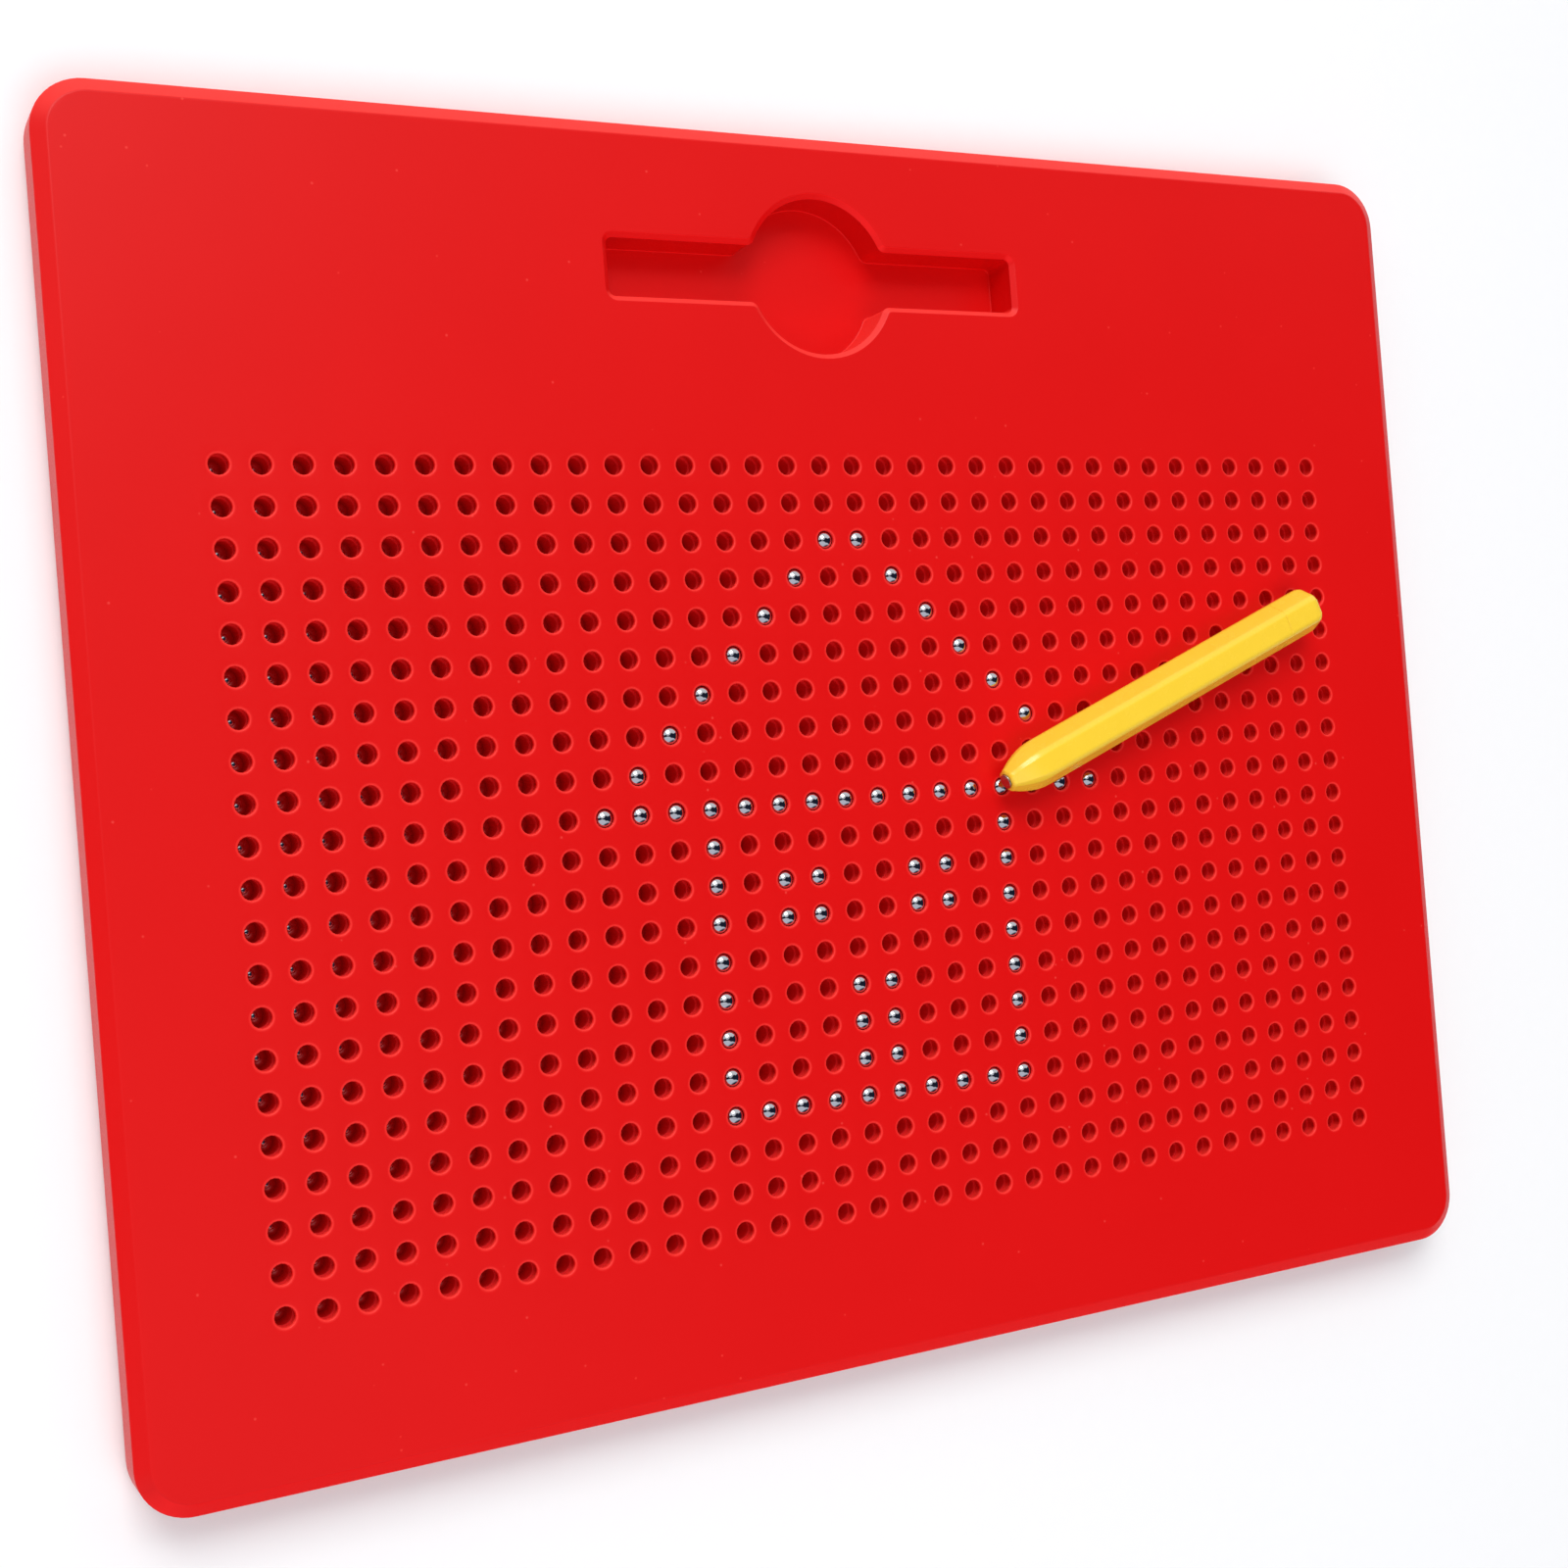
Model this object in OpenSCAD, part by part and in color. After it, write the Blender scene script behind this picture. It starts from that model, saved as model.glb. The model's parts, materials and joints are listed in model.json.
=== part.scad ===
// Magnetic ball drawing board.
// A flat moulded case holds a square grid of steel balls, one in each well. A magnetic stylus
// pulls a ball up into the mouth of its hole, where a rubber sheet holds it, and a fingertip
// pushes it down again. The board lies on its back: X runs across it, Y towards the tray end,
// Z out of the drawing face. The origin is the middle of the underside.

/* [Ball grid] */
// Holes across the board; the picture of the house needs 25
columns = 34; // [25:1:34]
// Holes up the board; the picture of the house needs 18
rows = 21; // [18:1:21]
// Distance between neighbouring holes
pitch = 8; // [6.5:0.1:10]
// Steel ball diameter
ball_d = 4.5; // [3.5:0.1:5.4]
// Radial room between a ball and its well
well_clear = 0.25; // [0.15:0.05:0.4]
// How much narrower the mouth of a hole is than its ball
mouth_hold = 0.6; // [0.4:0.05:0.9]
// Thickness of the lip that keeps a raised ball in
lip_t = 0.6; // [0.4:0.05:1]

/* [Case] */
// Edge of the board to the middle of the first column of holes
side_margin = 29; // [26:0.5:45]
// Edge of the board to the middle of the bottom row
bottom_margin = 33.4; // [30:0.1:50]
// Edge of the board to the middle of the top row
top_margin = 71.6; // [66:0.1:95]
// Thickness from the underside to the drawing face
board_t = 13; // [11.5:0.1:18]
// Radius of the outer corners, seen from the front
corner_r = 10.5; // [6:0.5:16]
// Width of the sloping border, measured across the face
border_w = 2.6; // [1:0.1:4]
// Height of the sloping border, measured down the side
border_h = 1.8; // [0.8:0.1:2.5]
// Side wall thickness
wall = 2.4; // [1.6:0.1:3.5]
// Face thickness beside the holes
face_t = 2.2; // [1.6:0.1:3]

/* [Rear cover] */
// Cover thickness
cover_t = 2; // [1.6:0.1:3]
// How far the cover is set in from the side walls
cover_inset = 1.2; // [0.5:0.1:2]
// Height of the cover's outer edge, which the side walls stand on
cover_edge_h = 3; // [2.4:0.1:4]
// Height of the rim that locates the cover inside the side walls
rim_h = 3.5; // [2:0.1:5]
// Thickness of the rim and of the ribs round the well plate
rib_t = 1.6; // [1.2:0.1:2.4]

/* [Well plate and sheet] */
// Well plate beyond the outer holes, from their middles
field_margin = 8; // [6:0.5:12]
// Thickness of the rubber sheet
sheet_t = 0.55; // [0.4:0.05:1]
// How much narrower the sheet's holes are than the balls
sheet_hold = 0.4; // [0.2:0.05:0.7]
// Room between the well plate and the ribs round it
plate_clear = 0.3; // [0.2:0.05:0.5]

/* [Stylus tray] */
// Top edge of the board to the middle of the tray
tray_drop = 30.3; // [26:0.1:40]
// Radius of the round finger well
finger_r = 17; // [14:0.5:20]
// Room between the tray and the stylus, all round
tray_clear = 0.7; // [0.4:0.1:2]
// Thickness of the tray's walls
tray_wall = 1.6; // [1.2:0.1:2.4]
// Thickness of the tray's floor
tray_floor = 1.4; // [1:0.1:2]
// Width of the bevel round the tray's mouth
tray_bevel = 0.8; // [0.3:0.1:1.2]

/* [Stylus] */
// Overall length without the magnet's proud tip
stylus_l = 98; // [80:1:120]
// Barrel width across its flats
stylus_flats = 10; // [8:0.5:12]
// Barrel width across its rounded corners
stylus_corners = 11; // [8.8:0.1:13.2]
// Length of the tapered nose
nose_l = 14; // [10:1:20]
// Diameter of the blunt nose end
nose_d = 5.6; // [5:0.1:7]
// Length of the end cap
cap_l = 12; // [8:1:18]
// Magnet diameter
magnet_d = 3.4; // [2.4:0.1:3.8]
// Magnet length
magnet_l = 20; // [12:1:30]
// How far the magnet stands out of the nose
magnet_proud = 0.4; // [0:0.1:1]
// Direction of the stylus on the board, from its tip, in degrees
stylus_turn = 21.7; // [0:0.1:60]
// Place of the nose end, across, from the hole where the eaves meet the right wall
nose_x = -2.3; // [-4:0.1:4]
// Place of the nose end, up the board, from the same hole
nose_y = 1; // [-4:0.1:4]

/* [Cover screws] */
// Screw shank diameter
screw_d = 2.6; // [2:0.1:3]
// Screw head diameter
head_d = 5; // [4:0.1:5.6]
// Screw length
screw_l = 8; // [6:0.5:9]
// Edge of the board to the middle of a screw
screw_inset = 14; // [12.5:0.5:16]
// End of the tray to the middle of the screws on either side of it
tray_to_screw = 21; // [12:0.5:24]

/* [Hidden] */
// The house drawn by the raised balls, as [column, row] from the top left hole
STROKES = [
    ["ridge_balls", [for (c = [16:17]) [c, 2]]],
    ["roof_left_balls", [for (r = [3:8]) [18 - r, r]]],
    ["roof_right_balls", [for (r = [3:8]) [15 + r, r]]],
    ["eaves_balls", [for (c = [9:24]) [c, 9]]],
    ["wall_left_balls", [for (r = [10:16]) [12, r]]],
    ["wall_right_balls", [for (r = [10:16]) [21, r]]],
    ["floor_balls", [for (c = [12:21]) [c, 17]]],
    ["window_left_balls", [for (c = [14:15], r = [11:12]) [c, r]]],
    ["window_right_balls", [for (c = [18:19], r = [11:12]) [c, r]]],
    ["door_balls", [for (c = [16:17], r = [14:16]) [c, r]]]
];
RAISED = [for (s = STROKES) each s[1]];
ROW_NODES = [for (r = [1:rows]) str("row_", r < 10 ? "0" : "", r, "_balls")];
$fn = 48;

// Smallest gap kept between a ball and what it rests on or under
touch = 0.13;
// Room between parts that slide into each other once, when the board is put together
slip = 0.2;
// Room round a pin in its bore
pin_clear = 0.05;
// Overlap that makes two shapes of one piece join
join = 0.5;
// Gap between the raised balls and the stylus that lies over them
stylus_gap = 0.1;

grid_w = (columns - 1) * pitch;
grid_l = (rows - 1) * pitch;
board_w = grid_w + 2 * side_margin;
board_l = grid_l + bottom_margin + top_margin;
// Middle of the grid
grid_y = (bottom_margin - top_margin) / 2;

ball_r = ball_d / 2;
well_r = ball_r + well_clear;
mouth_r = (ball_d - mouth_hold) / 2;
sheet_hole_r = (ball_d - sheet_hold) / 2;
// Height of a ball's middle above the edge of a round hole that it sits on
function seat(hole_r) = sqrt(pow(ball_r + touch, 2) - pow(hole_r, 2));
raised_z = board_t - lip_t - seat(mouth_r);
lowered_z = cover_t + ball_r + touch;
sheet_top = raised_z - seat(sheet_hole_r);
sheet_bottom = sheet_top - sheet_t;
face_under = board_t - face_t;

field_w = grid_w + 2 * field_margin;
field_l = grid_l + 2 * field_margin;

// Tray
tray_l = stylus_l + 2 * tray_clear;
tray_w = stylus_corners + 2 * tray_clear;
tray_y = board_l / 2 - tray_drop;
// Corner radius at the ends of the tray
tray_corner = 1.5;
tray_under = cover_t + slip;
tray_z = tray_under + tray_floor;

// Screws
// Outer diameters of a boss and of the pad under it, 2 mm of wall round what they hold
boss_d = screw_d + 4;
pad_d = head_d + 4;
pad_h = 1.6;
boss_z = cover_t + pad_h;
head_h = (head_d - screw_d) / 2;
// Depth of a screw's head below the underside
head_sink = 0.4;
// Depth of a screw's bore past its point
bore_spare = 0.6;
bore_l = screw_l + head_sink - boss_z + bore_spare;
screw_x = board_w / 2 - screw_inset;
screw_y = board_l / 2 - screw_inset;
inner_screw_x = tray_l / 2 + tray_to_screw;
// Four corner screws, four between them in the top and bottom rows, and one on each side
SCREWS = concat(
    [for (x = [screw_x, inner_screw_x], sx = [-1, 1], sy = [-1, 1]) [sx * x, sy * screw_y]],
    [for (sx = [-1, 1]) [sx * screw_x, grid_y]]
);

// Stylus
stylus_tip = [hole_x(21) + nose_x, hole_y(9) + nose_y, raised_z + ball_r + stylus_gap + stylus_flats / 2];
// Rounding of the blunt nose end, and how the nose swells behind it: 1 is a quarter sine
nose_edge = 1;
nose_power = 0.8;
// Bore of the hollow barrel, and the length of the cap's spigot inside it
hollow_d = 7.6;
spigot_l = 9;
// Length of the domed tail and how much its radius falls
dome_l = 4.5;
dome_fall = 2.4;
// Moulding mark in the middle of the tail
dimple_d = 1.4;
dimple_l = 0.6;

function hole_x(c) = (c - (columns - 1) / 2) * pitch;
function hole_y(r) = grid_y + ((rows - 1) / 2 - r) * pitch;

// Rectangle with round corners
module round_rect(w, l, r) {
    square([w - 2 * r, l], center = true);
    square([w, l - 2 * r], center = true);
    for (sx = [-1, 1], sy = [-1, 1])
        translate([sx * (w / 2 - r), sy * (l / 2 - r)])
            circle(r = r);
}

// Slab whose sides lean inwards by lean over its height
module leaning_slab(w, l, h, lean) {
    intersection() {
        rotate([90, 0, 0])
            linear_extrude(height = l, center = true)
                polygon([[-w / 2, 0], [w / 2, 0], [w / 2 - lean, h], [lean - w / 2, h]]);
        rotate([90, 0, 90])
            linear_extrude(height = w, center = true)
                polygon([[-l / 2, 0], [l / 2, 0], [l / 2 - lean, h], [lean - l / 2, h]]);
    }
}

// The sloping border round the face
module border(w, l, r, h, lean) {
    rotate([90, 0, 0])
        linear_extrude(height = l - 2 * r, center = true)
            polygon([[-w / 2, 0], [w / 2, 0], [w / 2 - lean, h], [lean - w / 2, h]]);
    rotate([90, 0, 90])
        linear_extrude(height = w - 2 * r, center = true)
            polygon([[-l / 2, 0], [l / 2, 0], [l / 2 - lean, h], [lean - l / 2, h]]);
    for (sx = [-1, 1], sy = [-1, 1])
        translate([sx * (w / 2 - r), sy * (l / 2 - r), 0])
            cylinder(r1 = r, r2 = r - lean, h = h);
}

// Field of holes, seen from above
module perforated_field(hole_r) {
    difference() {
        translate([0, grid_y])
            square([field_w, field_l], center = true);
        for (c = [0:columns - 1], r = [0:rows - 1])
            translate([hole_x(c), hole_y(r)])
                circle(r = hole_r);
    }
}

// Tray outline, grown by grow on every side
module tray_outline(grow) {
    translate([0, tray_y]) {
        round_rect(tray_l + 2 * grow, tray_w + 2 * grow, tray_corner);
        circle(r = finger_r + grow);
    }
}

// Bevel round the tray's mouth, carried on above the face so that it cuts cleanly
module tray_mouth() {
    translate([0, tray_y, board_t])
        mirror([0, 0, 1])
            translate([0, 0, -tray_bevel])
                leaning_slab(tray_l + 4 * tray_bevel, tray_w + 4 * tray_bevel,
                             2 * tray_bevel, 2 * tray_bevel);
    translate([0, tray_y, board_t - tray_bevel])
        cylinder(r1 = finger_r, r2 = finger_r + 2 * tray_bevel, h = 2 * tray_bevel);
}

module front_panel() {
    color("#E81C1C") {
        difference() {
            union() {
                // side walls and face
                difference() {
                    union() {
                        translate([0, 0, cover_edge_h])
                            linear_extrude(height = board_t - border_h - cover_edge_h)
                                round_rect(board_w, board_l, corner_r);
                        translate([0, 0, board_t - border_h])
                            border(board_w, board_l, corner_r, border_h, border_w);
                    }
                    translate([0, 0, cover_edge_h - join])
                        linear_extrude(height = face_under - cover_edge_h + join)
                            round_rect(board_w - 2 * wall, board_l - 2 * wall, corner_r - wall);
                    // opening that the field of holes fills
                    translate([0, grid_y, face_under])
                        linear_extrude(height = 3 * face_t, center = true)
                            square([field_w, field_l], center = true);
                }
                // tray
                translate([0, 0, tray_under])
                    linear_extrude(height = face_under + join - tray_under)
                        tray_outline(tray_wall);
                // screw bosses
                for (p = SCREWS)
                    translate([p[0], p[1], boss_z])
                        cylinder(d = boss_d, h = face_under + join - boss_z);
            }
            translate([0, 0, tray_z])
                linear_extrude(height = board_t)
                    tray_outline(0);
            tray_mouth();
            for (p = SCREWS)
                translate([p[0], p[1], boss_z - join])
                    cylinder(d = screw_d + 2 * pin_clear, h = bore_l + join);
        }
        translate([0, 0, board_t - lip_t])
            linear_extrude(height = lip_t)
                perforated_field(mouth_r);
        translate([0, 0, sheet_top])
            linear_extrude(height = board_t - lip_t - sheet_top)
                perforated_field(well_r);
    }
}

module rear_cover() {
    rim_w = board_w - 2 * wall - 2 * slip;
    rim_l = board_l - 2 * wall - 2 * slip;
    rim_r = corner_r - wall - slip;
    nest_w = field_w + 2 * plate_clear;
    nest_l = field_l + 2 * plate_clear;
    color("#D81818") difference() {
        union() {
            difference() {
                union() {
                    linear_extrude(height = cover_edge_h)
                        round_rect(board_w - 2 * cover_inset, board_l - 2 * cover_inset,
                                   corner_r - cover_inset);
                    linear_extrude(height = cover_edge_h + rim_h)
                        round_rect(rim_w, rim_l, rim_r);
                }
                translate([0, 0, cover_t])
                    linear_extrude(height = board_t)
                        round_rect(rim_w - 2 * rib_t, rim_l - 2 * rib_t, rim_r - rib_t);
            }
            // ribs that hold the well plate in place
            translate([0, grid_y, cover_t - join])
                linear_extrude(height = rim_h + join)
                    difference() {
                        square([nest_w + 2 * rib_t, nest_l + 2 * rib_t], center = true);
                        square([nest_w, nest_l], center = true);
                    }
            // pads under the screw bosses
            for (p = SCREWS)
                translate([p[0], p[1], cover_t - join])
                    cylinder(d = pad_d, h = pad_h + join);
        }
        for (p = SCREWS)
            translate([p[0], p[1], 0]) {
                translate([0, 0, -join])
                    cylinder(d = screw_d + 2 * slip, h = board_t);
                translate([0, 0, -join])
                    cylinder(d = head_d + 2 * slip, h = join + head_sink);
                translate([0, 0, head_sink])
                    cylinder(r1 = head_d / 2 + slip, r2 = screw_d / 2 + slip, h = head_h);
            }
    }
}

module well_plate() {
    color("#B81414")
        translate([0, 0, cover_t])
            linear_extrude(height = sheet_bottom - cover_t)
                perforated_field(well_r);
}

module retaining_sheet() {
    color("#A01010")
        translate([0, 0, sheet_bottom])
            linear_extrude(height = sheet_t)
                perforated_field(sheet_hole_r);
}

// Countersunk screw, pointing up, with its head's top at z = 0
module screw() {
    point_r = 0.4;
    slot_w = 0.8;
    slot_l = head_d * 0.6;
    slot_h = 0.6;
    difference() {
        union() {
            cylinder(r1 = head_d / 2, r2 = screw_d / 2, h = head_h);
            cylinder(d = screw_d, h = screw_l - screw_d / 2);
            translate([0, 0, screw_l - screw_d / 2])
                cylinder(r1 = screw_d / 2, r2 = point_r, h = screw_d / 2);
        }
        for (turn = [0, 90])
            rotate(turn)
                cube([slot_l, slot_w, 2 * slot_h], center = true);
    }
}

module cover_screws() {
    color("silver")
        for (p = SCREWS)
            translate([p[0], p[1], head_sink])
                screw();
}

// Puts a stylus piece, drawn along +Z from its nose, where the stylus lies on the board
module lay_stylus() {
    translate(stylus_tip)
        rotate([0, 0, stylus_turn])
            rotate([90, 0, 90])
                children();
}

// Six flats with rounded corners
module barrel_section() {
    intersection() {
        circle(d = stylus_flats / cos(30), $fn = 6);
        circle(d = stylus_corners);
    }
}

// Radius of the nose at a share t of its length
function nose_r(t) = nose_d / 2 + (stylus_corners - nose_d) / 2 * sin(90 * pow(t, nose_power));

// Half outline of the whole stylus, radius against length: a rounded nose and a domed tail
module stylus_outline() {
    steps = 8;
    flat_r = nose_d / 2 - nose_edge;
    polygon(concat(
        [[0, 0], [flat_r, 0]],
        [for (a = [30:30:90]) [flat_r + nose_edge * sin(a), nose_edge * (1 - cos(a))]],
        [for (i = [1:steps]) [nose_r(i / steps), nose_edge + (nose_l - nose_edge) * i / steps]],
        [for (i = [0:steps]) let (a = 90 * i / steps)
            [stylus_corners / 2 - dome_fall * (1 - cos(a)), stylus_l - dome_l * (1 - sin(a))]],
        [[0, stylus_l]]
    ));
}

module stylus_length(from, to) {
    intersection() {
        linear_extrude(height = stylus_l)
            barrel_section();
        rotate_extrude()
            stylus_outline();
        translate([0, 0, from])
            cylinder(d = 2 * stylus_corners, h = to - from);
    }
}

module stylus_barrel() {
    color("#FFD83C") lay_stylus() difference() {
        stylus_length(0, stylus_l - cap_l);
        translate([0, 0, -join])
            cylinder(d = magnet_d + 2 * pin_clear, h = magnet_l + join);
        translate([0, 0, magnet_l - magnet_proud])
            cylinder(d = hollow_d, h = stylus_l);
    }
}

module stylus_magnet() {
    color("silver") lay_stylus()
        translate([0, 0, -magnet_proud])
            cylinder(d = magnet_d, h = magnet_l);
}

module stylus_end_cap() {
    seam = stylus_l - cap_l;
    color("#FFD83C") lay_stylus() difference() {
        union() {
            stylus_length(seam, stylus_l);
            translate([0, 0, seam - spigot_l])
                cylinder(d = hollow_d - 2 * pin_clear, h = spigot_l + join);
        }
        translate([0, 0, stylus_l - dimple_l])
            cylinder(d = dimple_d, h = 2 * dimple_l);
    }
}

// Balls of one stroke of the picture, up in the mouths of their holes
module raised_balls(holes) {
    color("lightgray")
        for (h = holes)
            translate([hole_x(h[0]), hole_y(h[1]), raised_z])
                sphere(d = ball_d);
}

// Every other ball of one row, down on the rear cover
module lowered_balls(row) {
    color("gray")
        for (c = [0:columns - 1])
            if (len([for (h = RAISED) if (h == [c, row]) h]) == 0)
                translate([hole_x(c), hole_y(row), lowered_z])
                    sphere(d = ball_d);
}

front_panel();
rear_cover();
well_plate();
retaining_sheet();
cover_screws();
stylus_barrel();
stylus_magnet();
stylus_end_cap();
for (s = STROKES) raised_balls(s[1]);
for (r = [0:rows - 1]) lowered_balls(r);
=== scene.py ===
"""Magnetic ball drawing board with its stylus, laid out as an add-on.

The board lies on its back: X runs across it, Y towards its tray, Z out of the drawing face. Each
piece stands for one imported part, in metres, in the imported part's own frame.
"""

import json
import math

import bmesh
import bpy
from bpy.props import FloatProperty, FloatVectorProperty, IntProperty, PointerProperty
from mathutils import Matrix, Vector

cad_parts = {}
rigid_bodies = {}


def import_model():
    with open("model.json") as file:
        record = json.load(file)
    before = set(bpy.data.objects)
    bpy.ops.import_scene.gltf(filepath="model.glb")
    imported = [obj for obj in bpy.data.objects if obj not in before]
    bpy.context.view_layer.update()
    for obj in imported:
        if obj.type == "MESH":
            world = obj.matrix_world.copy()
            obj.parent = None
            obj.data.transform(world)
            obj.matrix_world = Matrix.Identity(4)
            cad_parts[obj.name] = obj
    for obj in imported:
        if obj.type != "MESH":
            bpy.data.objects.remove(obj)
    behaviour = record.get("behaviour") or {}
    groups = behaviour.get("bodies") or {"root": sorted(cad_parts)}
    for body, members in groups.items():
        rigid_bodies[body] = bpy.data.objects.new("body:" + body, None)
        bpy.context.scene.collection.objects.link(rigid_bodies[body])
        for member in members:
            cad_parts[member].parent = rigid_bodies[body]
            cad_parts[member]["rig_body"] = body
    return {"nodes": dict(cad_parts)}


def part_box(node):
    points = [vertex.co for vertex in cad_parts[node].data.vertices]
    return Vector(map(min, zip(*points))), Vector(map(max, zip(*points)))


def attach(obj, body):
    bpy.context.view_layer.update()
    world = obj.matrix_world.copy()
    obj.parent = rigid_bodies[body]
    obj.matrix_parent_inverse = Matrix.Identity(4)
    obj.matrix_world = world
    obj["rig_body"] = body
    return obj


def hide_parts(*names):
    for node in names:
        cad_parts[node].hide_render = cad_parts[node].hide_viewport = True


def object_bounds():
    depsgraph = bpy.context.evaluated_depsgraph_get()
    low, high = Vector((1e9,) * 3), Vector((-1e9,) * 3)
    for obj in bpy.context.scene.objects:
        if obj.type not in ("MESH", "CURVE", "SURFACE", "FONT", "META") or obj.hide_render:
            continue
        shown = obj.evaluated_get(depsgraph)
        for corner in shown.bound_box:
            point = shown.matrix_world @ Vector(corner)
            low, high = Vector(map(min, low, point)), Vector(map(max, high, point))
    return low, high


bl_info = {
    "name": "Ball Drawing Board",
    "version": (1, 0, 0),
    "blender": (4, 5, 0),
    "location": "3D View > Sidebar > Drawing Board",
    "description": "Builds a moulded board of steel balls and its magnetic stylus",
    "category": "Add Mesh",
}

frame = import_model()
CAD_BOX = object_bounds()

MM = 0.001
# Corners nearer than this are one corner
WELD = 0.002 * MM
# Edges that turn more than this stay crisp
CRISP = math.radians(60)
# How gently the stylus' flats run out into its round ends
TAPER_BLEND = 0.45 * MM

PANEL_LOW, PANEL_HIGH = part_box("front_panel")
COVER_LOW, COVER_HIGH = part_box("rear_cover")
PLATE_LOW, PLATE_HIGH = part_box("well_plate")
SHEET_LOW, SHEET_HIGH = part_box("retaining_sheet")
MAGNET_LOW, MAGNET_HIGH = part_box("stylus_magnet")
SCREWS_LOW, SCREWS_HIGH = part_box("cover_screws")
ROW_NODES = sorted(n for n in frame["nodes"] if n.startswith("row_"))
STROKE_NODES = sorted(n for n in frame["nodes"] if n.endswith("_balls") and n not in ROW_NODES)
GRID_Y = (PLATE_LOW.y + PLATE_HIGH.y) / 2


def length(name, description, millimetres):
    """A size, given in millimetres and kept in metres."""
    return FloatProperty(
        name=name, description=description, default=millimetres * MM, min=0.0, precision=5, unit="LENGTH"
    )


def linear(hex_colour):
    """An sRGB hex value as linear red, green, blue and alpha."""
    parts = [int(hex_colour[i : i + 2], 16) / 255 for i in (1, 3, 5)]
    return [p / 12.92 if p <= 0.04045 else ((p + 0.055) / 1.055) ** 2.4 for p in parts] + [1.0]


def colour(name, description, hex_colour):
    """A colour, given as an sRGB hex value and kept linear."""
    return FloatVectorProperty(
        name=name, description=description, size=4, default=linear(hex_colour), min=0, max=1, subtype="COLOR"
    )


# ---------------------------------------------------------------------------------------------
# Sizes and colours


class BoardGrid(bpy.types.PropertyGroup):
    """The holes and their balls"""

    columns: IntProperty(name="Columns", description="Holes across the board", default=34, min=1)
    rows: IntProperty(name="Rows", description="Holes up the board", default=len(ROW_NODES), min=1)
    pitch: length("Pitch", "Distance between neighbouring holes", 8)
    ball: length("Ball", "Diameter of a steel ball", 4.5)
    mouth: length("Mouth", "Diameter of a hole at the drawing face", 3.9)
    mouth_soft: length("Mouth rounding", "How far the mouth's edge is rounded over", 0.35)
    lip: length("Lip", "Thickness of the lip that keeps a ball in", 0.6)
    well: length("Well", "Diameter of a hole under its lip", 5)
    grip: length("Grip", "Diameter of the holes in the rubber sheet", 4.1)


class BoardCase(bpy.types.PropertyGroup):
    """The front panel's sizes"""

    corner: length("Corner", "Radius of the outer corners", 10.5)
    wall: length("Wall", "Thickness of the side walls", 2.4)
    face: length("Face", "Thickness of the face beside the holes", 2.2)
    foot: length("Foot", "Height of the side walls' lower edge", 3)
    border_width: length("Border width", "Width of the sloping border", 2.6)
    border_height: length("Border height", "Height of the sloping border", 1.8)
    soft: length("Soft edge", "Radius of the moulded outer edges", 0.45)


class BoardTray(bpy.types.PropertyGroup):
    """The stylus tray's sizes"""

    length: length("Length", "Length of the slot", 99.4)
    width: length("Width", "Width of the slot", 12.4)
    finger: length("Finger well", "Radius of the round finger well", 17)
    drop: length("Drop", "Board's top edge to the middle of the tray", 30.3)
    corner: length("Corner", "Radius of the slot's end corners", 1.5)
    blend: length("Blend", "Rounding where the slot meets the finger well", 1.2)
    bevel: length("Bevel", "Width of the bevel round the mouth", 0.8)
    wall: length("Wall", "Thickness of the tray's walls", 1.6)
    floor: length("Floor", "Thickness of the tray's floor", 1.4)
    sweep: length("Floor rounding", "Radius where the walls meet the floor", 0.25)


class BoardCover(bpy.types.PropertyGroup):
    """The rear cover's sizes"""

    corner: length("Corner", "Radius of the outer corners", 9.3)
    thickness: length("Thickness", "Thickness of the cover", 2)
    step: length("Step", "Cover's edge to its locating rim", 1.4)
    rim: length("Rim", "Thickness of the locating rim and of the ribs", 1.6)
    rib_height: length("Rib height", "Height of the ribs round the well plate", 3.5)
    nest: length("Nest", "Room between the well plate and the ribs", 0.3)
    soft: length("Soft edge", "Radius of the lower outer edge", 1.1)


class BoardScrews(bpy.types.PropertyGroup):
    """The screws, and the bosses and pads that they join"""

    shank: length("Shank", "Diameter of a screw", 2.6)
    head: length("Head", "Diameter of a screw's head", 5)
    recess_length: length("Recess length", "Length of the cross recess", 3)
    recess_width: length("Recess width", "Width of the cross recess", 0.8)
    recess_depth: length("Recess depth", "Depth of the cross recess", 0.6)
    boss: length("Boss", "Diameter of a boss", 6.6)
    pad: length("Pad", "Diameter of a pad", 9)
    pad_height: length("Pad height", "Height of a pad above the cover's floor", 1.6)
    spare: length("Spare", "Depth of a bore past the screw's point", 0.6)
    room: length("Room", "Room round a screw in the cover", 0.2)
    inner: length("Inner screws", "Middle of the board to the inner screws", 70.7)


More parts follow.
